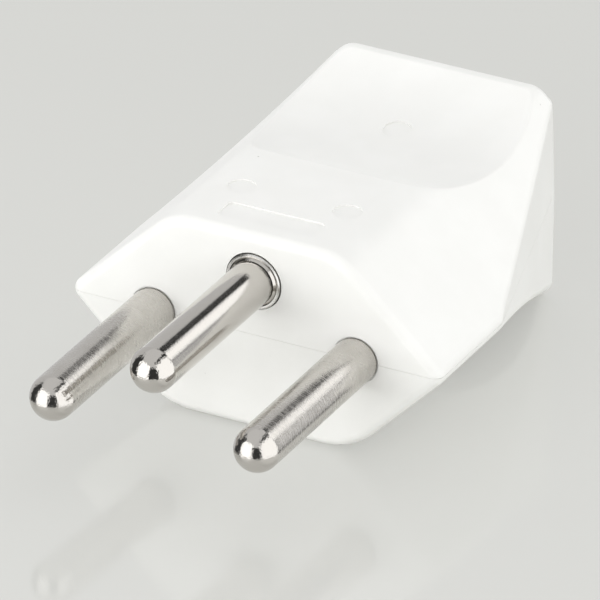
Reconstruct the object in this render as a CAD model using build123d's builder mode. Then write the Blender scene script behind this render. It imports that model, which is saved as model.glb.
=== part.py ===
import os
from math import atan2, cos, hypot, radians, sin, sqrt, tan

from build123d import *

# Re-wirable three-pole mains plug with round pins, in millimetres.
# The origin is the centre of the engagement face, on the line through the line and neutral pins.
# +Y runs back through the housing to the cord inlet, and +Z points up, away from the flat underside.

# Pins
pin_diameter = 4.0
pin_spacing = 19.0  # between the line and neutral axes
earth_offset = 5.0  # earth axis above the other two
pin_length = 19.0  # out of the engagement face
pin_tip_height = 2.0  # domed end
pin_seat_step = 0.2  # shoulder behind the lip of the front wall
pin_throat_step = 0.2  # groove that the lip fills
neck_diameter = 3.4  # groove that the support ribs hold
terminal_diameter = 5.6
terminal_length = 9.0
earth_terminal_diameter = 5.2
terminal_chamfer = 0.4
wire_hole_diameter = 2.6
wire_hole_depth = 7.0
earth_foot = 0.08  # the earth pin's flare ends this far inside the collar's rim

# Metal collar round the foot of the earth pin
earth_seat_step = 0.2
collar_wall = 0.25
collar_stand = 0.2  # proud of the engagement face
collar_flange_width = 0.8
collar_flange = 0.6
collar_edge = 0.1

# Housing outside
pin_to_corner = 8.25  # from a pin axis to the sharp corner on the parting plane
corner_cut = 0.45  # taken off the sharp corner by its rounding
base_depth = 9.0  # underside below the pins' plane
crown_width = 15.9  # between the slanted sides where they meet the top
base_widening = 1.6  # underside wider than the top
upper_crown_radius = 5.5  # between the top and the slanted sides
lower_crown_radius = 6.3  # between the underside and the slanted sides
straight_length = 9.6  # front stretch that enters the socket recess
rear_widening = 4.82  # rear edge between the flanks, wider than the top
flank_draft = 1.2
body_length = 34.4
side_flare_setback = 3.0  # the slanted sides sweep outwards this far behind the straight stretch
side_flare = 1.2  # outward sweep at the rear
face_edge_radius = 0.9
rear_edge_radius = 0.9

# Finger grips, one scoop in the top and one in the underside
grip_start = 13.8
grip_depth = 2.32
upper_lip_rise = 0.5  # rear lips beyond the top and the underside
lower_lip_rise = 0.85
upper_lip_radius = 2.0  # between the rear lips and the slanted sides
lower_lip_radius = 1.2
lip_width = 1.4
grip_edge_radius = 0.5

# Rating panel and round moulding marks on the top
panel_width = 9.1
panel_length = 2.5
panel_depth = 0.15
panel_corner = 0.5
panel_y = 3.2
mark_diameter = 2.5
mark_depth = 0.12
grip_mark_setback = 7.6  # in front of the rear lip

# Walls and fits
wall = 1.6
front_wall = 2.4
front_lip = 0.5  # lip of the front wall that holds the line and neutral pins
pin_rim_depth = 0.15  # shadow ring round the line and neutral pins
neck_rib = 1.9  # ribs in the grooves of the line and neutral pins
neck_rib_width = 5.2
neck_rib_y = 9.05
earth_stop = 1.2  # rib behind the earth terminal
earth_stop_width = 8.0
earth_stop_drop = 2.4  # below the earth axis
earth_prop_width = 3.2  # post under the earth terminal
earth_prop_length = 2.4
earth_prop_gap = 1.2  # behind the terminal's front
earth_cradle = 0.4  # post round the terminal's underside
seam_depth = 0.05  # shadow line round the parting plane
seam_width = 0.05
fit_gap = 0.05  # pieces that are held fast
slide_gap = 0.1  # pieces that are put in by hand

# Screws
terminal_screw_diameter = 3.0
terminal_screw_length = 2.9
terminal_screw_stand = 0.5
slot_width = 0.6
slot_depth = 0.8
screw_diameter = 2.9
screw_head_diameter = 4.6
screw_head_height = 1.5
screw_head_dome = 0.5
screw_point = 0.5  # chamfer at the tip
recess_width = 0.7  # cross recess in the screw heads
recess_span = 2.6
recess_depth = 0.9
housing_screw_y = 7.2
housing_screw_length = 10.8
head_cover = 0.9  # from the underside in to the housing screw heads
head_wall = 1.3  # round the counterbores
seat_thickness = 1.4  # under the heads
clamp_screw_length = 7.0
screw_run_out = 0.5  # hole beyond a screw's tip

# Cord inlet and clamp
cord_diameter = 6.5
cord_squeeze = 1.0
inlet_gap = 0.35
inlet_mouth = 0.6  # rounding of the inlet's outer edge
clamp_setback = 5.3  # in front of the rear wall
clamp_width = 4.5
clamp_thickness = 1.8
clamp_post_diameter = 4.2
clamp_post_gap = 1.1  # cord to post
clamp_end = 0.4  # bar beyond the post
clamp_ridge = 0.6  # radius of the ridge that bites the cord
saddle_length = 2.4  # rib that the cord lies in
saddle_height = 1.6  # above the underside of the cord

# Hooks that hold the shells together at the rear
hook_width = 2.6
hook_thickness = 1.2
hook_drop = 2.8
hook_barb = 0.6
hook_barb_height = 1.0
hook_root = 2.0

# Sizes that follow
pin_radius = pin_diameter / 2
pin_x = pin_spacing / 2
seat_radius = pin_radius + pin_seat_step
seat_y = front_lip + fit_gap
throat_radius = pin_radius - pin_throat_step
neck_radius = neck_diameter / 2
terminal_radius = terminal_diameter / 2
earth_terminal_radius = earth_terminal_diameter / 2
wire_radius = wire_hole_diameter / 2
half_width = pin_x + pin_to_corner
base_width = crown_width + base_widening
rear_width = crown_width + rear_widening
flank_turn = atan2(half_width - rear_width / 2, body_length - straight_length)
corner_x = half_width - corner_cut
corner_rear = straight_length + corner_cut / tan(flank_turn)
side_flare_start = straight_length + side_flare_setback
flare_run = body_length - side_flare_start
side_flare_radius = (flare_run**2 + side_flare**2) / (2 * side_flare)
crown_height = earth_offset + earth_terminal_radius + slide_gap + wall
grip_end = body_length - lip_width
grip_run = grip_end - grip_start
grip_radius = ((grip_run / 2) ** 2 + grip_depth**2) / (2 * grip_depth)
grip_mark_y = grip_end - grip_mark_setback
rear_inside = body_length - wall
clamp_y = rear_inside - clamp_setback
shaft_end = pin_tip_height - pin_length
neck_y = neck_rib_y - fit_gap
terminal_y = neck_rib_y + neck_rib + fit_gap
terminal_rear = terminal_y + terminal_length
earth_seat_radius = pin_radius + earth_seat_step
collar_inner = earth_seat_radius + fit_gap
collar_outer = collar_inner + collar_wall
collar_flange_radius = collar_outer + collar_flange_width
earth_foot_y = -collar_stand + earth_foot
earth_terminal_y = front_wall + collar_flange + fit_gap
earth_terminal_rear = earth_terminal_y + terminal_length
earth_stop_y = earth_terminal_rear + fit_gap
earth_prop_y = earth_terminal_y + earth_prop_gap + earth_prop_length / 2
terminal_screw_radius = terminal_screw_diameter / 2
screw_radius = screw_diameter / 2
screw_head_radius = screw_head_diameter / 2
housing_screw_x = (earth_terminal_radius + pin_x - seat_radius) / 2
boss_radius = (pin_x - seat_radius - earth_terminal_radius) / 2 - 2 * slide_gap
core_radius = screw_radius + fit_gap
clearance_radius = screw_radius + slide_gap
counterbore_radius = screw_head_radius + slide_gap
head_seat_z = head_cover + screw_head_height - base_depth
post_radius = clamp_post_diameter / 2
cord_radius = cord_diameter / 2
post_x = cord_radius + clamp_post_gap + post_radius
clamp_z = cord_radius - cord_squeeze
clamp_top = clamp_z + clamp_thickness
inlet_radius = cord_radius + inlet_gap
hook_x = inlet_radius + slide_gap + hook_width / 2
hook_back = rear_inside - slide_gap
reach = 2 * (body_length + half_width)  # longer than any cut needs to be
touch = 1e-3  # points this close lie on a surface
upper_half = dict(
    tilt=atan2(crown_height, half_width - crown_width / 2),
    crown=crown_height,
    crown_radius=upper_crown_radius,
    lip=crown_height + upper_lip_rise,
    lip_radius=upper_lip_radius,
)
lower_half = dict(
    tilt=atan2(base_depth, half_width - base_width / 2),
    crown=base_depth,
    crown_radius=lower_crown_radius,
    lip=base_depth + lower_lip_rise,
    lip_radius=lower_lip_radius,
)


def flare(y, inset):
    # Outward sweep of a slanted side at y, for a surface that lies inset below the outside
    radius = side_flare_radius + inset
    return radius - sqrt(radius**2 - (y - side_flare_start) ** 2)


def grip_axis(crown, lip):
    # Y and Z of the axis of the scoop that leaves the top at grip_start and ends at the rear lip
    rise = lip - crown
    chord = hypot(grip_run, rise)
    drop = sqrt(grip_radius**2 - (chord / 2) ** 2)
    middle_y = (grip_start + grip_end) / 2
    middle_z = (crown + lip) / 2
    return middle_y - drop * rise / chord, middle_z + drop * grip_run / chord


def flank(side, inset=0.0):
    # Plane of a flank, facing outwards
    draft = radians(flank_draft)
    outward = Vector(side * cos(flank_turn) * cos(draft), sin(flank_turn) * cos(draft), sin(draft))
    return Plane(origin=Vector(side * half_width, straight_length, 0) - outward * inset, z_dir=outward)


def slanted_block(tilt, top, radius, inset, front, rear):
    # Block between two stations, with slanted sides that are flat in front and then sweep outwards
    with BuildPart() as block:
        with BuildSketch(Plane.XY):
            with Locations((0, front)):
                Rectangle(2 * half_width, rear - front, align=(Align.CENTER, Align.MIN))
        extrude(amount=top)
        for side in (1, -1):
            slant = Plane(
                origin=(side * half_width, 0, 0),
                x_dir=(0, 1, 0),
                z_dir=(cos(tilt), 0, -side * sin(tilt)),
            )
            with BuildSketch(slant):
                with BuildLine():
                    run = Line((-body_length, -inset), (side_flare_start, -inset))
                    swept_end = (body_length, flare(body_length, inset) - inset)
                    sweep_back = TangentArc(run @ 1, swept_end, tangent=run % 1)
                    Polyline(sweep_back @ 1, (body_length, reach), (-body_length, reach), run @ 0)
                make_face()
            extrude(amount=reach, both=True, mode=Mode.SUBTRACT)
        if radius > inset:
            crest = block.faces().sort_by(Axis.Z)[-1]
            fillet(crest.edges().filter_by(lambda edge: abs(edge.center().X) > pin_radius), radius - inset)
    return block.part


def half_form(tilt, crown, crown_radius, lip, lip_radius, inset=0.0, front=0.0):
    # One half of the housing above the parting plane, set in from the outside by inset
    grip_y, grip_z = grip_axis(crown, lip)
    crown_block = slanted_block(tilt, crown - inset, crown_radius, inset, front, grip_y)
    lip_block = slanted_block(tilt, lip - inset, lip_radius, inset, grip_y, body_length - inset)
    with BuildPart() as form:
        add(crown_block)
        add(lip_block)
        with Locations((0, grip_y, grip_z)):
            Cylinder(grip_radius + inset, reach, rotation=(0, 90, 0), mode=Mode.SUBTRACT)
        for side in (1, -1):
            split(bisect_by=flank(side, inset), keep=Keep.BOTTOM)
    return form.part


def corner_cutter(tilt, side):
    # Rounds the corner between a slanted side and the parting plane, in front of the sweep
    radius = corner_cut * sin(tilt) / (1 - sin(tilt))
    centre = corner_x - radius
    leave = Vector(side * (centre + radius * sin(tilt)), radius * cos(tilt))
    with BuildPart() as cutter:
        with BuildSketch(Plane.XZ.offset(wall)):
            with BuildLine():
                rounding = RadiusArc((side * corner_x, 0), leave, -side * radius)
                away = leave + Vector(side * sin(tilt), cos(tilt)) * wall
                beyond = side * (half_width + wall)
                below = (side * corner_x, -wall)
                Polyline(leave, away, (beyond, away.Y), (beyond, -wall), below, rounding @ 0)
            make_face()
        extrude(amount=-wall - side_flare_start)
    return cutter.part


def edges_where(part, test):
    # Edges above the parting plane that lie on a surface all along
    return ShapeList(
        edge
        for edge in part.edges()
        if edge.center().Z > touch and all(test(edge @ (step / 4)) for step in range(5))
    )


def rounded_form(half):
    # Outside of one half of the housing, with every edge rounded but those on the parting plane
    grip_y, grip_z = grip_axis(half["crown"], half["lip"])
    sharp = half_form(**half)

    def on_rear_rim(point):
        on_flank = any(abs(flank(side).to_local_coords(point).Z) < touch for side in (1, -1))
        return on_flank or abs(point.Y - body_length) < touch

    def on_scoop(point):
        return abs(hypot(point.Y - grip_y, point.Z - grip_z) - grip_radius) < touch * 10

    def on_face(point):
        return abs(point.Y) < touch

    with BuildPart() as form:
        add(sharp)
        fillet(edges_where(form.part, on_rear_rim), rear_edge_radius)
        for side in (1, -1):
            add(corner_cutter(half["tilt"], side), mode=Mode.SUBTRACT)
        fillet(edges_where(form.part, on_scoop), grip_edge_radius)
        fillet(edges_where(form.part, on_face), face_edge_radius)
    return form.part


def rod(radius, front, rear, x=0.0, z=0.0):
    # Round bar along Y, used for holes and notches
    with BuildPart() as bar:
        with BuildSketch(Plane.XZ.offset(-front)):
            with Locations((x, z)):
                Circle(radius)
        extrude(amount=front - rear)
    return bar.part


def pin_hole(x):
    # Stepped hole in the front wall for the line or the neutral pin
    with BuildPart() as hole:
        add(rod(pin_radius + slide_gap, 0, pin_rim_depth, x))
        add(rod(throat_radius + fit_gap, 0, front_lip, x))
        add(rod(seat_radius + fit_gap, front_lip, front_wall, x))
    return hole.part


def wire_terminal_holes(x, z, rear, up):
    # Wire hole from the rear and the tapped hole of its screw from above or below
    with BuildPart() as holes:
        add(rod(wire_radius, rear - wire_hole_depth, rear, x, z))
        with Locations((x, rear - wire_hole_depth / 2, z)):
            Cylinder(
                terminal_screw_radius + fit_gap,
                terminal_diameter,
                align=(Align.CENTER, Align.CENTER, Align.MIN if up else Align.MAX),
            )
    return holes.part


def live_pin(x):
    # Turned pin with a seat behind the lip of the front wall, a groove for the ribs and a screw terminal
    with BuildPart() as pin:
        with BuildSketch(Plane((x, 0, 0))):
            with BuildLine():
                dome = (pin_radius, pin_tip_height)
                tip = EllipticalCenterArc((0, shaft_end), *dome, start_angle=-90, arc_size=90)
                Polyline(
                    tip @ 1,
                    (pin_radius, 0),
                    (throat_radius, 0),
                    (throat_radius, seat_y),
                    (seat_radius, seat_y),
                    (seat_radius, neck_y),
                    (neck_radius, neck_y),
                    (neck_radius, terminal_y),
                    (terminal_radius, terminal_y),
                    (terminal_radius, terminal_rear),
                    (0, terminal_rear),
                    tip @ 0,
                )
            make_face()
        revolve(axis=Axis((x, 0, 0), (0, 1, 0)))
        rims = pin.edges().filter_by(GeomType.CIRCLE)
        chamfer(rims.filter_by(lambda rim: abs(rim.radius - terminal_radius) < touch), terminal_chamfer)
        add(wire_terminal_holes(x, 0, terminal_rear, True), mode=Mode.SUBTRACT)
    return pin.part


def terminal_screw(x, y, end, turn):
    # Slotted set screw with its slotted end at the given height
    with BuildPart(Location((x, y, end), (turn, 0, 0))) as screw:
        Cylinder(terminal_screw_radius, terminal_screw_length, align=(Align.CENTER, Align.CENTER, Align.MAX))
        rims = screw.edges().filter_by(GeomType.CIRCLE)
        chamfer(rims, slot_width / 2)
        Box(terminal_screw_diameter, slot_width, 2 * slot_depth, mode=Mode.SUBTRACT)
    return screw.part


def pan_screw(x, y, seat, length, turn):
    # Pan-head screw with a cross recess and with its head seated at the given height
    with BuildPart(Location((x, y, seat), (turn, 0, 0))) as screw:
        Cylinder(screw_radius, length, align=(Align.CENTER, Align.CENTER, Align.MAX))
        chamfer(screw.faces().sort_by(Axis.Z)[0 if turn == 0 else -1].edges(), screw_point)
        Cylinder(screw_head_radius, screw_head_height, align=(Align.CENTER, Align.CENTER, Align.MIN))
        fillet(screw.faces().sort_by(Axis.Z)[-1 if turn == 0 else 0].edges(), screw_head_dome)
        with Locations((0, 0, screw_head_height)):
            Box(recess_span, recess_width, 2 * recess_depth, mode=Mode.SUBTRACT)
            Box(recess_width, recess_span, 2 * recess_depth, mode=Mode.SUBTRACT)
    return screw.part


def hook_profile():
    # Tongue that drops behind the lower shell's rear wall, with a barb at its end
    barb_top = hook_barb_height - hook_drop
    return [
        (hook_back - hook_thickness, hook_root),
        (rear_inside + wall / 2, hook_root),
        (rear_inside + wall / 2, 0),
        (hook_back, 0),
        (hook_back, barb_top),
        (hook_back + hook_barb, barb_top),
        (hook_back, -hook_drop),
        (hook_back - hook_thickness, -hook_drop),
    ]


screw_places = [(housing_screw_x, housing_screw_y), (-housing_screw_x, housing_screw_y)]
post_places = [(post_x, clamp_y), (-post_x, clamp_y)]

# Line, neutral and earth pins
line_pin = live_pin(pin_x)
neutral_pin = live_pin(-pin_x)

with BuildPart() as earth_pin:
    with BuildSketch(Plane((0, 0, earth_offset))):
        with BuildLine():
            dome = (pin_radius, pin_tip_height)
            tip = EllipticalCenterArc((0, shaft_end), *dome, start_angle=-90, arc_size=90)
            Polyline(
                tip @ 1,
                (pin_radius, earth_foot_y - earth_seat_step),
                (earth_seat_radius, earth_foot_y),
                (earth_seat_radius, earth_terminal_y),
                (earth_terminal_radius, earth_terminal_y),
                (earth_terminal_radius, earth_terminal_rear),
                (0, earth_terminal_rear),
                tip @ 0,
            )
        make_face()
    revolve(axis=Axis((0, 0, earth_offset), (0, 1, 0)))
    chamfer(earth_pin.faces().sort_by(Axis.Y)[-1].edges(), terminal_chamfer)
    add(wire_terminal_holes(0, earth_offset, earth_terminal_rear, False), mode=Mode.SUBTRACT)

with BuildPart() as earth_collar:
    with BuildSketch(Plane((0, 0, earth_offset))):
        with BuildLine():
            Polyline(
                (collar_inner, -collar_stand),
                (collar_outer - collar_edge, -collar_stand),
                (collar_outer, collar_edge - collar_stand),
                (collar_outer, front_wall),
                (collar_flange_radius, front_wall),
                (collar_flange_radius, front_wall + collar_flange),
                (collar_inner, front_wall + collar_flange),
                close=True,
            )
        make_face()
    revolve(axis=Axis((0, 0, earth_offset), (0, 1, 0)))

# Screws of the terminals
terminal_screw_y = terminal_rear - wire_hole_depth / 2
terminal_screw_end = terminal_radius + terminal_screw_stand
line_terminal_screw = terminal_screw(pin_x, terminal_screw_y, terminal_screw_end, 0)
neutral_terminal_screw = terminal_screw(-pin_x, terminal_screw_y, terminal_screw_end, 0)
earth_terminal_screw = terminal_screw(
    0,
    earth_terminal_rear - wire_hole_depth / 2,
    earth_offset - earth_terminal_radius - terminal_screw_stand,
    180,
)

# Cord inlet, half in each shell, with a rounded mouth
with BuildPart() as inlet:
    with BuildSketch(Plane.XY):
        with BuildLine():
            bore = Line((inlet_radius, rear_inside - slide_gap), (inlet_radius, body_length - inlet_mouth))
            mouth = TangentArc(bore @ 1, (inlet_radius + inlet_mouth, body_length), tangent=bore % 1)
            Polyline(mouth @ 1, (0, body_length), (0, rear_inside - slide_gap), bore @ 0)
        make_face()
    revolve(axis=Axis.Y)

# Upper shell
upper_outside = rounded_form(upper_half)
upper_core = half_form(**upper_half, inset=wall, front=front_wall)
upper_limit = half_form(**upper_half, inset=wall / 2, front=front_wall / 2)

with BuildPart() as upper_ribs:
    with BuildSketch(Plane.XZ.offset(-neck_rib_y)):
        with Locations((pin_x, 0), (-pin_x, 0)):
            Rectangle(neck_rib_width, crown_height, align=(Align.CENTER, Align.MIN))
            Circle(neck_radius + fit_gap, mode=Mode.SUBTRACT)
    extrude(amount=-neck_rib)
    # Rib behind the earth terminal, with a slot for the wire
    with BuildSketch(Plane.XZ.offset(-earth_stop_y)):
        with Locations((0, earth_offset - earth_stop_drop)):
            Rectangle(earth_stop_width, crown_height, align=(Align.CENTER, Align.MIN))
        with Locations((0, earth_offset)):
            Circle(wire_radius, mode=Mode.SUBTRACT)
            Rectangle(wire_hole_diameter, crown_height, align=(Align.CENTER, Align.MAX), mode=Mode.SUBTRACT)
    extrude(amount=-earth_stop)
    with BuildSketch(Plane.XY):
        with Locations(*screw_places):
            Circle(boss_radius)
    extrude(amount=crown_height)
    add(upper_limit, mode=Mode.INTERSECT)

grip_y, grip_z = grip_axis(upper_half["crown"], upper_half["lip"])
grip_turn = (grip_mark_y - grip_y) / grip_radius
grip_mark = Plane(
    origin=(0, grip_mark_y, grip_z - sqrt(grip_radius**2 - (grip_mark_y - grip_y) ** 2)),
    x_dir=(1, 0, 0),
    z_dir=(0, -grip_turn, sqrt(1 - grip_turn**2)),
)

with BuildPart() as upper_shell:
    add(upper_outside)
    add(upper_core, mode=Mode.SUBTRACT)
    add(upper_ribs.part)
    with Locations(*screw_places):
        Cylinder(
            core_radius,
            head_seat_z + housing_screw_length + screw_run_out,
            align=(Align.CENTER, Align.CENTER, Align.MIN),
            mode=Mode.SUBTRACT,
        )
    for side in (1, -1):
        add(pin_hole(side * pin_x), mode=Mode.SUBTRACT)
    add(rod(collar_outer + slide_gap, 0, front_wall, 0, earth_offset), mode=Mode.SUBTRACT)
    flange_room = rod(collar_flange_radius + slide_gap, front_wall, earth_terminal_y, 0, earth_offset)
    add(flange_room, mode=Mode.SUBTRACT)
    add(inlet.part, mode=Mode.SUBTRACT)
    for side in (1, -1):
        with BuildSketch(Plane.YZ.offset(side * hook_x - hook_width / 2)):
            with BuildLine():
                Polyline(*hook_profile(), close=True)
            make_face()
        extrude(amount=hook_width)
    # Rating panel and the round moulding marks
    with BuildSketch(Plane.XY.offset(crown_height)):
        with Locations((0, panel_y)):
            RectangleRounded(panel_width, panel_length, panel_corner)
    extrude(amount=-panel_depth, mode=Mode.SUBTRACT)
    with BuildSketch(Plane.XY.offset(crown_height)):
        with Locations(*screw_places):
            Circle(mark_diameter / 2)
    extrude(amount=-mark_depth, mode=Mode.SUBTRACT)
    with BuildSketch(grip_mark):
        Circle(mark_diameter / 2)
    extrude(amount=mark_depth, both=True, mode=Mode.SUBTRACT)

# Lower shell
lower_outside = mirror(rounded_form(lower_half), about=Plane.XY)
lower_core = mirror(half_form(**lower_half, inset=wall, front=front_wall), about=Plane.XY)
lower_limit = mirror(half_form(**lower_half, inset=wall / 2, front=front_wall / 2), about=Plane.XY)

with BuildPart() as lower_ribs:
    with BuildSketch(Plane.XZ.offset(-neck_rib_y)):
        with Locations((pin_x, 0), (-pin_x, 0)):
            Rectangle(neck_rib_width, base_depth, align=(Align.CENTER, Align.MAX))
            Circle(neck_radius + fit_gap, mode=Mode.SUBTRACT)
    extrude(amount=-neck_rib)
    # Saddle for the cord between the clamp posts
    with BuildSketch(Plane.XZ.offset(saddle_length / 2 - clamp_y)):
        with Locations((0, saddle_height - cord_radius)):
            Rectangle(2 * post_x, base_depth, align=(Align.CENTER, Align.MAX))
        Circle(cord_radius, mode=Mode.SUBTRACT)
    extrude(amount=-saddle_length)
    # Screw bosses, wide round the counterbores and narrow between the pins
    with BuildSketch(Plane.XY.offset(head_seat_z + seat_thickness)):
        with Locations(*screw_places):
            Circle(counterbore_radius + head_wall)
    extrude(amount=-base_depth)
    with BuildSketch(Plane.XY):
        with Locations(*screw_places):
            Circle(boss_radius)
        with Locations(*post_places):
            Circle(post_radius)
        with Locations((0, earth_prop_y)):
            Rectangle(earth_prop_width, earth_prop_length)
    extrude(amount=-base_depth)
    add(lower_limit, mode=Mode.INTERSECT)

with BuildPart() as seam:
    with BuildSketch(Plane.XY):
        add(lower_outside.faces().sort_by(Axis.Z)[-1])
    extrude(amount=-seam_width)
    with BuildSketch(Plane.XY) as core:
        with BuildLine():
            right = [(corner_x, 0), (corner_x, corner_rear), (rear_width / 2, body_length)]
            Polyline(*right, *[(-x, y) for x, y in reversed(right)], close=True)
        make_face()
        offset(amount=-seam_depth, kind=Kind.INTERSECTION, mode=Mode.REPLACE)
        fillet(core.vertices(), face_edge_radius)
    extrude(amount=-seam_width, mode=Mode.SUBTRACT)

with BuildPart() as lower_shell:
    add(lower_outside)
    add(lower_core, mode=Mode.SUBTRACT)
    add(lower_ribs.part)
    # Clamp posts and the earth terminal's post stand up past the parting plane
    with BuildSketch(Plane.XY):
        with Locations(*post_places):
            Circle(post_radius)
    extrude(amount=clamp_z)
    with BuildSketch(Plane.XY):
        with Locations((0, earth_prop_y)):
            Rectangle(earth_prop_width, earth_prop_length)
    extrude(amount=earth_offset - earth_terminal_radius + earth_cradle)
    cradle_rear = earth_prop_y + earth_prop_length
    add(rod(earth_terminal_radius + fit_gap, 0, cradle_rear, 0, earth_offset), mode=Mode.SUBTRACT)
    with Locations(*[(x, y, clamp_z) for x, y in post_places]):
        Cylinder(
            core_radius,
            clamp_screw_length - clamp_thickness + screw_run_out,
            align=(Align.CENTER, Align.CENTER, Align.MAX),
            mode=Mode.SUBTRACT,
        )
    with Locations(*screw_places):
        Cylinder(clearance_radius, reach, mode=Mode.SUBTRACT)
    with Locations(*[(x, y, head_seat_z) for x, y in screw_places]):
        Cylinder(
            counterbore_radius,
            base_depth,
            align=(Align.CENTER, Align.CENTER, Align.MAX),
            mode=Mode.SUBTRACT,
        )
    for side in (1, -1):
        add(pin_hole(side * pin_x), mode=Mode.SUBTRACT)
    add(inlet.part, mode=Mode.SUBTRACT)
    add(seam.part, mode=Mode.SUBTRACT)
    # Pockets for the hooks, blind from outside
    pocket_top = hook_barb_height - hook_drop + fit_gap
    with Locations((hook_x, hook_back, pocket_top), (-hook_x, hook_back, pocket_top)):
        Box(
            hook_width + 2 * slide_gap,
            hook_barb + slide_gap,
            hook_barb_height + fit_gap + slide_gap,
            align=(Align.CENTER, Align.MIN, Align.MAX),
            mode=Mode.SUBTRACT,
        )

# Cord clamp and its screws
with BuildPart() as cord_clamp:
    with BuildSketch(Plane.XY.offset(clamp_z)):
        with Locations((0, clamp_y)):
            SlotOverall(2 * (post_x + post_radius + clamp_end), clamp_width)
        with Locations(*post_places):
            Circle(clearance_radius, mode=Mode.SUBTRACT)
    extrude(amount=clamp_thickness)
    with BuildSketch(Plane.YZ.offset(-cord_radius)):
        with Locations((clamp_y, clamp_z)):
            Circle(clamp_ridge)
    extrude(amount=cord_diameter)

cord_clamp_screw_left = pan_screw(-post_x, clamp_y, clamp_top, clamp_screw_length, 0)
cord_clamp_screw_right = pan_screw(post_x, clamp_y, clamp_top, clamp_screw_length, 0)

# Screws that draw the shells together, from the underside
housing_screw_left = pan_screw(-housing_screw_x, housing_screw_y, head_seat_z, housing_screw_length, 180)
housing_screw_right = pan_screw(housing_screw_x, housing_screw_y, head_seat_z, housing_screw_length, 180)

pieces = {
    "upper_shell": upper_shell.part,
    "lower_shell": lower_shell.part,
    "line_pin": line_pin,
    "neutral_pin": neutral_pin,
    "earth_pin": earth_pin.part,
    "earth_collar": earth_collar.part,
    "line_terminal_screw": line_terminal_screw,
    "neutral_terminal_screw": neutral_terminal_screw,
    "earth_terminal_screw": earth_terminal_screw,
    "cord_clamp": cord_clamp.part,
    "cord_clamp_screw_left": cord_clamp_screw_left,
    "cord_clamp_screw_right": cord_clamp_screw_right,
    "housing_screw_left": housing_screw_left,
    "housing_screw_right": housing_screw_right,
}
os.makedirs("parts", exist_ok=True)
for name, piece in pieces.items():
    piece.label = name
    export_step(piece, f"parts/{name}.step")
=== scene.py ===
import math

import bpy
from mathutils import Matrix, Vector


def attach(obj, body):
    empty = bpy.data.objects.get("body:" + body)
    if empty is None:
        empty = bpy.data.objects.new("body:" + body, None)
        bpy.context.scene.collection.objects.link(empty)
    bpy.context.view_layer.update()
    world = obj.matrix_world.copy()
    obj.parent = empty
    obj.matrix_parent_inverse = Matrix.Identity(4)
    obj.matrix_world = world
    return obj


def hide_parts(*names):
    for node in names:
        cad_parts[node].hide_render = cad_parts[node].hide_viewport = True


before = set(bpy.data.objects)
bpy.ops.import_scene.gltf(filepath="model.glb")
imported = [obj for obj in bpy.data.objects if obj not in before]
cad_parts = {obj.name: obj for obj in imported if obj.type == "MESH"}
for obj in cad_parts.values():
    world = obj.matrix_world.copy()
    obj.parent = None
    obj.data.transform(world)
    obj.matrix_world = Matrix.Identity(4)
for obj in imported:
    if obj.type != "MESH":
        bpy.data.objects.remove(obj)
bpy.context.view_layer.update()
print("frame loaded:", len(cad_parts), "nodes")


# Node helper: one output socket, with arithmetic that adds Math nodes
class Wire:
    def __init__(self, tree, socket=None):
        self.tree = tree
        self.socket = socket

    def make(self, kind, inputs=None, output=0, **settings):
        node = self.tree.nodes.new("ShaderNode" + kind)
        for name, value in settings.items():
            setattr(node, name, value)
        for place, value in (inputs or {}).items():
            if isinstance(value, Wire):
                self.tree.links.new(value.socket, node.inputs[place])
            else:
                node.inputs[place].default_value = value
        return Wire(self.tree, node.outputs[output])

    def math(self, operation, *values):
        return self.make("Math", dict(enumerate(values)), operation=operation)

    def __add__(self, other):
        return self.math("ADD", self, other)

    def __radd__(self, other):
        return self.math("ADD", other, self)

    def __sub__(self, other):
        return self.math("SUBTRACT", self, other)

    def __rsub__(self, other):
        return self.math("SUBTRACT", other, self)

    def __mul__(self, other):
        return self.math("MULTIPLY", self, other)

    def __rmul__(self, other):
        return self.math("MULTIPLY", other, self)

    def __truediv__(self, other):
        return self.math("DIVIDE", self, other)

    def __rtruediv__(self, other):
        return self.math("DIVIDE", other, self)

    def size(self):
        return self.math("ABSOLUTE", self)

    def rises(self, start, end):
        step = {"Value": self, "From Min": start, "From Max": end}
        return self.make("MapRange", step, interpolation_type="SMOOTHSTEP")

    def noise(self, scale, detail=2.0, rough=0.5):
        inputs = {"Vector": self, "Scale": scale, "Detail": detail, "Roughness": rough}
        return self.make("TexNoise", inputs)

    def stretched(self, x, y, z):
        return self.make("VectorMath", {0: self, 1: (x, y, z)}, operation="MULTIPLY")

    def part(self, axis):
        return self.make("SeparateXYZ", {0: self}, axis)

    def blend(self, first, second):
        return self.make("Mix", {"Factor": self, 6: first, 7: second}, 2, data_type="RGBA")

    def bump(self, strength, depth=0.00002):
        return self.make("Bump", {"Strength": strength, "Distance": depth, "Height": self})


# Patterns are written in millimetres
def newMaterial(name):
    material = bpy.data.materials.new(name)
    material.use_nodes = True
    shader = material.node_tree.nodes["Principled BSDF"]
    place = Wire(material.node_tree).make("TexCoord", output="Object")
    return material, shader, place.stretched(1000.0, 1000.0, 1000.0)


def plug(shader, **inputs):
    for name, value in inputs.items():
        socket = shader.inputs[name.replace("_", " ")]
        if isinstance(value, Wire):
            value.tree.links.new(value.socket, socket)
        else:
            socket.default_value = value


# White housing plastic with a few dark specks
plasticLook = {
    "light": (0.90, 0.90, 0.878, 1.0),
    "shade": (0.88, 0.88, 0.856, 1.0),
    "speck": (0.25, 0.24, 0.22, 1.0),
    "speckCell": 0.33,
    "speckEdge": (0.035, 0.06),
    "speckShare": (0.56, 0.6),
    "speckDepth": 0.7,
    "roughness": 0.36,
    "bump": 0.06,
}


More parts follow.
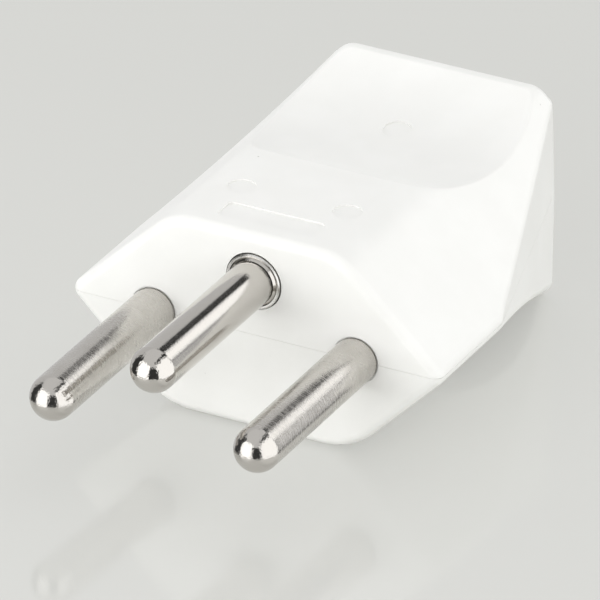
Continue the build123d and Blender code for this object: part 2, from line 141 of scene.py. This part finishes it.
def makePlastic(name, look):
    material, shader, place = newMaterial(name)
    cloud = place.noise(0.22, 3.0)
    grain = place.noise(9.0, 2.0)
    tone = cloud.rises(0.35, 0.7).blend(look["shade"], look["light"])
    cell = {"Vector": place, "Scale": look["speckCell"]}
    speck = place.make("TexVoronoi", cell, "Distance") + grain * 0.05
    chosen = place.noise(0.4, 0.0).rises(*look["speckShare"])
    dot = (1.0 - speck.rises(*look["speckEdge"])) * chosen * look["speckDepth"]
    rough = look["roughness"] + (cloud - 0.5) * 0.08 + (grain - 0.5) * 0.06
    colour = dot.blend(tone, look["speck"])
    plug(shader, Base_Color=colour, Roughness=rough, Normal=grain.bump(look["bump"]))
    return material


# Plated metal of the pins: turning marks on the shank, small dents on the end, the middle pin polished
pinLook = {
    "light": (0.66, 0.64, 0.61, 1.0),
    "dark": (0.50, 0.475, 0.44, 1.0),
    "shankStart": (-17.05, -16.75),
    "polished": (3.0, 6.0),
    "polishedWear": 0.3,
    "marks": (1.3, 6.5, 1.3),
    "streaks": (1.0, 16.0, 1.0),
    "shine": 0.05,
    "satin": 0.10,
    "shankSatin": 0.04,
    "fray": 0.12,
    "dents": 1.4,
    "bump": 0.7,
}


def makePinMetal(name, look):
    material, shader, place = newMaterial(name)
    side = place.part("X").size().rises(*look["polished"])
    worn = look["polishedWear"] + (1.0 - look["polishedWear"]) * side
    shank = place.part("Y").rises(*look["shankStart"])
    marks = place.stretched(*look["marks"]).noise(1.0, 2.0, 0.6)
    streaks = place.stretched(*look["streaks"]).noise(1.0, 2.0, 0.6)
    wear = place.noise(0.8, 3.0)
    grain = place.noise(6.0, 3.0, 0.6)
    sandy = (marks - 0.5) * 0.3 + (grain - 0.5) * 0.8 + (wear - 0.5) * 0.6
    tone = (0.55 + worn * shank * sandy).blend(look["dark"], look["light"])
    frayed = look["shankSatin"] + look["fray"] * marks.rises(0.44, 0.68) + (wear - 0.5) * 0.1
    rough = look["shine"] + worn * look["satin"] + shank * worn * frayed
    dents = (1.0 - shank) * place.noise(4.5, 1.0)
    turned = shank * worn * (marks * 0.3 + streaks * 0.4)
    height = turned + grain * 0.5 + dents * look["dents"]
    plug(shader, Base_Color=tone, Roughness=rough, Metallic=1.0, Normal=height.bump(look["bump"]))
    return material


# Collar and screws
collarLook = {
    "light": (0.80, 0.79, 0.77, 1.0),
    "dark": (0.64, 0.63, 0.60, 1.0),
    "roughness": 0.27,
    "lines": (6.0, 6.0, 18.0),
    "bump": 0.1,
}
screwLook = dict(collarLook, light=(0.66, 0.66, 0.66, 1.0), dark=(0.45, 0.45, 0.46, 1.0), roughness=0.32)


def makeBrushed(name, look):
    material, shader, place = newMaterial(name)
    lines = place.stretched(*look["lines"]).noise(1.0, 3.0, 0.6)
    wear = place.noise(1.2, 3.0)
    tone = (lines * 0.5 + wear * 0.5).rises(0.35, 0.65).blend(look["dark"], look["light"])
    rough = look["roughness"] + (lines - 0.5) * 0.16 + (wear - 0.5) * 0.1
    plug(shader, Base_Color=tone, Roughness=rough, Metallic=1.0, Normal=lines.bump(look["bump"]))
    return material


finishes = {
    "housing": makePlastic("housingPlastic", plasticLook),
    "pins": makePinMetal("pinMetal", pinLook),
    "collar": makeBrushed("collarMetal", collarLook),
    "screws": makeBrushed("screwSteel", screwLook),
    "clamp": makePlastic("clampPlastic", dict(plasticLook, roughness=0.42)),
}
slotOf = {
    "upper_shell": "housing",
    "lower_shell": "housing",
    "line_pin": "pins",
    "neutral_pin": "pins",
    "earth_pin": "pins",
    "earth_collar": "collar",
    "line_terminal_screw": "screws",
    "neutral_terminal_screw": "screws",
    "earth_terminal_screw": "screws",
    "cord_clamp": "clamp",
    "cord_clamp_screw_left": "screws",
    "cord_clamp_screw_right": "screws",
    "housing_screw_left": "screws",
    "housing_screw_right": "screws",
}
for name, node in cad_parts.items():
    node.data.materials.clear()
    node.data.materials.append(finishes[slotOf[name]])
print("materials set")

# Smooth shown pieces, made from merged copies of the nodes
smoothAngles = {
    "upper_shell": 25.0,
    "lower_shell": 25.0,
    "line_pin": 35.0,
    "neutral_pin": 35.0,
    "earth_pin": 35.0,
    "earth_collar": 30.0,
    "housing_screw_left": 30.0,
    "housing_screw_right": 30.0,
}
mergeGap = 2e-7


def smoothCopy(name, shownName, angle):
    bpy.ops.object.select_all(action="DESELECT")
    piece = bpy.data.objects.new(shownName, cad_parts[name].data.copy())
    bpy.context.scene.collection.objects.link(piece)
    piece.select_set(True)
    bpy.context.view_layer.objects.active = piece
    bpy.ops.object.mode_set(mode="EDIT")
    bpy.ops.mesh.select_all(action="SELECT")
    bpy.ops.mesh.remove_doubles(threshold=mergeGap)
    bpy.ops.object.mode_set(mode="OBJECT")
    bpy.ops.mesh.customdata_custom_splitnormals_clear()
    bpy.ops.object.shade_smooth_by_angle(angle=math.radians(angle))
    weigh = piece.modifiers.new("weigh", "WEIGHTED_NORMAL")
    weigh.keep_sharp = True
    bpy.ops.object.modifier_apply(modifier="weigh")
    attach(piece, "root")
    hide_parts(name)


for name, angle in smoothAngles.items():
    words = name.split("_")
    smoothCopy(name, words[0] + "".join(word.title() for word in words[1:]), angle)
print("smooth copies made")

# Floor: a pale glossy sheet under the front edge and the rear lip, on which shadows stay faint
floorLook = {
    "light": (0.745, 0.748, 0.716, 1.0),
    "shade": (0.685, 0.688, 0.658, 1.0),
    # span along Y, in mm, of the painted light that makes the floor lighter towards the camera
    "nearer": (90.0, -60.0),
    "shadow": 0.35,
    "gloss": 0.16,
    "roughness": 0.10,
    "skim": (0.53, 0.63),
    "half": 3.0,
    "frontEdge": (0.0009, -0.00902),
    "rearEdge": (0.0335, -0.00987),
}


def makeFloorPaint(name, look):
    material, shader, place = newMaterial(name)
    cloud = place.noise(0.02, 4.0)
    fibre = place.noise(1.6, 3.0)
    # painted light: the floor's colour runs from the shade tone far off to the light tone near the camera
    paintedNearLight = place.part("Y").rises(*look["nearer"])
    tone = (cloud * 0.1 + fibre * 0.06 + paintedNearLight * 0.84).blend(look["shade"], look["light"])
    # what is seen glows for the most part, and the rest takes the shadow
    mirrored = place.make("LightPath", output="Is Glossy Ray")
    glowing = (place.make("LightPath", output="Is Camera Ray") + mirrored) * (1.0 - look["shadow"])
    black = (0.0, 0.0, 0.0, 1.0)
    plug(shader, Base_Color=glowing.blend(tone, black), Emission_Color=glowing.blend(black, tone))
    plug(shader, Roughness=0.9 + (fibre - 0.5) * 0.1, Emission_Strength=1.0, Specular_IOR_Level=0.0)
    sheet = Wire(material.node_tree, shader.outputs[0])
    gloss = place.make("BsdfAnisotropic", {"Roughness": look["roughness"]})
    coated = place.make("MixShader", {0: look["gloss"], 1: sheet, 2: gloss})
    # mirror rays that skim the sheet pass through it
    skim = place.make("LayerWeight", {"Blend": 0.5}, "Facing").rises(*look["skim"]) * mirrored
    mixed = place.make("MixShader", {0: skim, 1: coated, 2: place.make("BsdfTransparent")})
    surface = material.node_tree.nodes["Material Output"].inputs["Surface"]
    material.node_tree.links.new(mixed.socket, surface)
    return material


frontY, frontZ = floorLook["frontEdge"]
rearY, rearZ = floorLook["rearEdge"]
slope = (rearZ - frontZ) / (rearY - frontY)
bpy.ops.object.select_all(action="DESELECT")
bpy.ops.mesh.primitive_plane_add(size=2.0 * floorLook["half"], location=(0.0, 0.0, 0.0))
floor = bpy.context.object
floor.name = "floor"
floor.rotation_euler = (math.atan(slope), 0.0, 0.0)
floor.location = (0.0, 0.0, frontZ - slope * frontY)
bpy.ops.object.transform_apply(location=True, rotation=True, scale=True)
floor.data.materials.append(makeFloorPaint("floorPaint", floorLook))
print("floor laid")


# Directions round the part: azimuth 0 is in front of the pins
def outward(look):
    turn = math.radians(look["azimuth"])
    lift = math.radians(look["elevation"])
    return Vector((math.sin(turn) * math.cos(lift), -math.cos(turn) * math.cos(lift), math.sin(lift)))


def sideways(aim):
    return Vector((0.0, 0.0, 1.0)).cross(aim).normalized()


# Camera
cameraLook = {
    "azimuth": 28.434,
    "elevation": 28.272,
    "roll": -0.485,
    "distance": 1.0,
    "right": 0.003784,
    "up": 0.002847,
    "lens": 725.7,
    "sensor": 36.0,
    "clip": (0.01, 20.0),
}
roll = math.radians(cameraLook["roll"])
back = outward(cameraLook)
right = sideways(back)
up = back.cross(right)
rolledRight = right * math.cos(roll) + up * math.sin(roll)
rolledUp = up * math.cos(roll) - right * math.sin(roll)
bpy.ops.object.camera_add()
camera = bpy.context.object
camera.name = "photoCamera"
axes = Matrix((rolledRight, rolledUp, back)).transposed().to_4x4()
spot = back * cameraLook["distance"] + rolledRight * cameraLook["right"] + rolledUp * cameraLook["up"]
camera.matrix_world = Matrix.Translation(spot) @ axes
camera.data.lens = cameraLook["lens"]
camera.data.sensor_width = cameraLook["sensor"]
camera.data.clip_start, camera.data.clip_end = cameraLook["clip"]
bpy.context.scene.camera = camera
print("camera set")

# Soft boxes left of the camera and low on the right, with weak fills all round
lamps = {
    "leftBox": {"azimuth": -28.0, "elevation": 21.0, "distance": 0.32, "size": (0.36, 0.26), "glow": 1.3},
    "rightBox": {"azimuth": 110.0, "elevation": 2.0, "distance": 0.50, "size": (0.50, 0.20), "glow": 3.1},
    "sideFill": {"azimuth": -115.0, "elevation": 18.0, "distance": 0.40, "size": (0.30, 0.25), "glow": 0.5},
    "rearFill": {"azimuth": 170.0, "elevation": 30.0, "distance": 0.50, "size": (0.60, 0.30), "glow": 0.5},
    "lowFill": {"azimuth": 0.0, "elevation": 4.0, "distance": 0.50, "size": (0.60, 0.20), "glow": 2.2},
    "topFill": {"azimuth": 150.0, "elevation": 65.0, "distance": 0.50, "size": (0.30, 0.30), "glow": 0.4},
}
for name, look in lamps.items():
    away = outward(look)
    bpy.ops.object.light_add(type="AREA")
    lamp = bpy.context.object
    lamp.name = name
    lamp.location = away * look["distance"]
    lamp.rotation_mode = "QUATERNION"
    lamp.rotation_quaternion = away.to_track_quat("Z", "Y")
    lamp.data.shape = "RECTANGLE"
    lamp.data.size, lamp.data.size_y = look["size"]
    lamp.data.energy = look["glow"] * math.pi * lamp.data.size * lamp.data.size_y
    lamp.visible_glossy = False
print("lamps set:", len(lamps))

# World: an even fill for the surfaces, and in the reflections a dim room with pale panels
worldLook = {
    "fill": 0.43,
    "band": {"glow": 0.50, "heights": (0.65, 0.1)},
    "crown": {"glow": 0.56, "heights": (0.5, 0.9)},
    "room": 0.05,
    "overhead": {"elevation": 44.0, "soft": 0.02, "glow": 0.76},
    "panelEdge": 0.03,
    "darkFrame": {"azimuth": 95.0, "elevation": 8.0, "wide": 54.0, "high": 60.0, "glow": 1.0},
    "panels": {
        "between": {"azimuth": 22.0, "elevation": 42.0, "wide": 18.0, "high": 10.0, "glow": 0.76},
        "left": {"azimuth": -28.0, "elevation": 6.0, "wide": 30.0, "high": 38.0, "glow": 1.9},
        "right": {"azimuth": 91.0, "elevation": 6.0, "wide": 45.0, "high": 49.0, "glow": 1.62, "soft": 0.25},
        "rearRight": {"azimuth": 154.0, "elevation": 25.0, "wide": 12.0, "high": 13.0, "glow": 1.6},
        "rearLow": {"azimuth": 150.0, "elevation": -5.0, "wide": 15.0, "high": 17.0, "glow": 0.6},
        "rearLeft": {"azimuth": -133.0, "elevation": 10.0, "wide": 33.0, "high": 36.0, "glow": 0.70},
    },
}
world = bpy.data.worlds.new("studio")
world.use_nodes = True
bpy.context.scene.world = world
wire = Wire(world.node_tree)
facing = wire.make("TexCoord", output="Generated")


def along(axis):
    return wire.make("VectorMath", {0: facing, 1: tuple(axis)}, "Value", operation="DOT_PRODUCT")


def panel(look):
    aim = outward(look)
    side = sideways(aim)
    ahead = along(aim)
    mask = ahead.rises(0.0, 0.05)
    thin = worldLook["panelEdge"]
    ways = ((side, look["wide"], thin), (aim.cross(side), look["high"], look.get("soft", thin)))
    for axis, reach, soft in ways:
        edge = math.tan(math.radians(reach))
        mask = mask * (along(axis) / ahead).size().rises(edge + soft, edge - soft)
    return look["glow"] * mask


height = along((0.0, 0.0, 1.0))
overhead = worldLook["overhead"]
brim = math.sin(math.radians(overhead["elevation"]))
ceiling = overhead["glow"] * height.rises(brim - overhead["soft"], brim + overhead["soft"])
room = worldLook["room"] + ceiling * (1.0 - panel(worldLook["darkFrame"]))
for look in worldLook["panels"].values():
    room = room.math("MAXIMUM", room, panel(look))
fill = worldLook["fill"]
for look in (worldLook["band"], worldLook["crown"]):
    fill = fill + look["glow"] * height.rises(*look["heights"])
light = fill + wire.make("LightPath", output="Is Glossy Ray") * (room - fill)
world.node_tree.links.new(light.socket, world.node_tree.nodes["Background"].inputs["Color"])
bpy.context.scene.view_settings.view_transform = "Standard"
print("world set")
